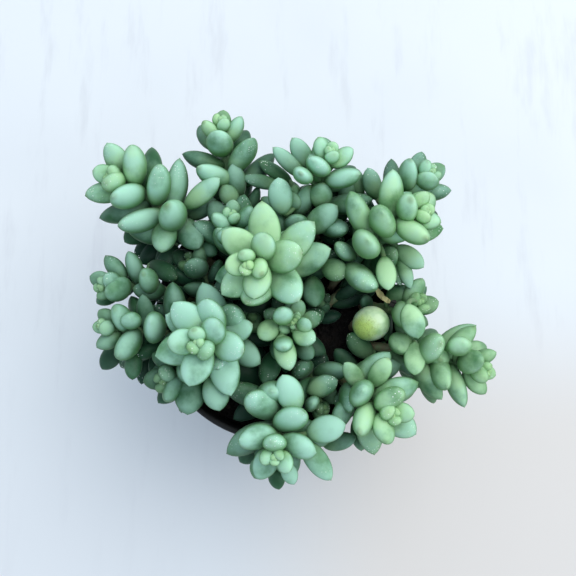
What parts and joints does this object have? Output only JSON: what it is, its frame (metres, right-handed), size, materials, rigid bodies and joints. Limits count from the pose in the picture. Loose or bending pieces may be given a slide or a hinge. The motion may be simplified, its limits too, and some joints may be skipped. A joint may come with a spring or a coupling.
{
  "type": "potted burro's tail plant",
  "caption": "Tapered round nursery pot filled with soil and a crowd of short stems that end in spiral rosettes of plump blue-green leaves, with a swollen yellowing leaf among them.",
  "frame": {"origin": "centre of the flat underside of the pot, on the surface it stands on", "axes": "+Z up along the pot's axis; +Y is up in the picture and +X is right in it"},
  "size_m": [0.1422, 0.129, 0.1222],
  "materials": {
    "pot": "satin",
    "soil": "matte",
    "leafy_stem": "matte",
    "old_leaf": "matte"
  },
  "bodies": {
    "root": {"pot": "pot", "soil": "soil", "stem_crown": "leafy_stem", "stem_front_left": "leafy_stem", "stem_middle": "leafy_stem", "stem_front": "leafy_stem", "stem_front_right": "leafy_stem", "stem_right": "leafy_stem", "stem_back_right": "leafy_stem", "stem_back_right_low": "leafy_stem", "stem_back_left": "leafy_stem", "stem_back": "leafy_stem", "stem_left_high": "leafy_stem", "stem_left_low": "leafy_stem", "stem_left": "leafy_stem", "stem_left_front": "leafy_stem", "stem_inner_left": "leafy_stem", "stem_inner_back": "leafy_stem", "stem_inner_right": "leafy_stem", "stem_inner_middle": "leafy_stem", "stem_inner_front": "leafy_stem", "stem_inner_side": "leafy_stem", "old_leaf": "old_leaf"}
  },
  "joints": []
}
